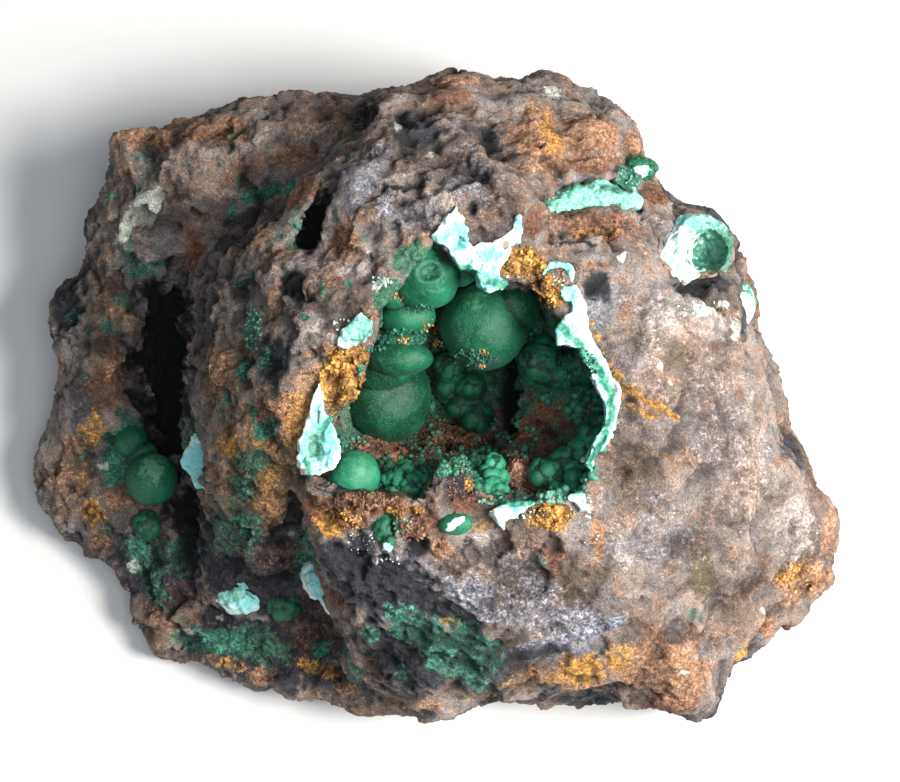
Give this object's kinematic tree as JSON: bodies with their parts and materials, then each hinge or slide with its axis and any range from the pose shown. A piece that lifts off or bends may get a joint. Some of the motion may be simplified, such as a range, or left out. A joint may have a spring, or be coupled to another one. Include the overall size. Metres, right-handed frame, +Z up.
{
  "type": "malachite specimen",
  "caption": "Rough iron-oxide rock with an open cavity lined by rounded green malachite growths and pale turquoise broken rinds.",
  "frame": {"origin": "middle of the bounding box, on the flat resting face", "axes": "+X along the specimen's longest side; +Z up; the cavity opens upwards and towards -Y"},
  "size_m": [0.0845, 0.0706, 0.0407],
  "materials": {
    "ironstone": "rough, craggy, brown to ochre with dark purplish grey",
    "malachite": "velvety satin, deep green",
    "malachite_rind": "broken fibrous edge, pale turquoise to white"
  },
  "bodies": {
    "root": {"host_rock": "ironstone", "wall_globes": "malachite", "hanging_globe": "malachite", "right_globe": "malachite", "back_globe": "malachite", "rim_globe": "malachite", "well_beads": "malachite", "front_beads": "malachite", "corner_beads": "malachite", "ledge_beads": "malachite", "lip_bead": "malachite", "lip_shard": "malachite", "side_bead": "malachite", "crest_bead": "malachite", "skirt_globe": "malachite", "skirt_bead": "malachite", "skirt_nodule": "malachite", "top_shell": "malachite_rind", "hook_shell": "malachite_rind", "right_rind": "malachite_rind", "corner_rind": "malachite_rind", "front_rind": "malachite_rind", "left_rind": "malachite_rind", "side_rind": "malachite_rind", "slit_lining": "malachite_rind", "cup_lining": "malachite_rind", "groove_shell": "malachite_rind", "skirt_chip": "malachite_rind", "gully_crust": "malachite_rind"}
  },
  "joints": []
}
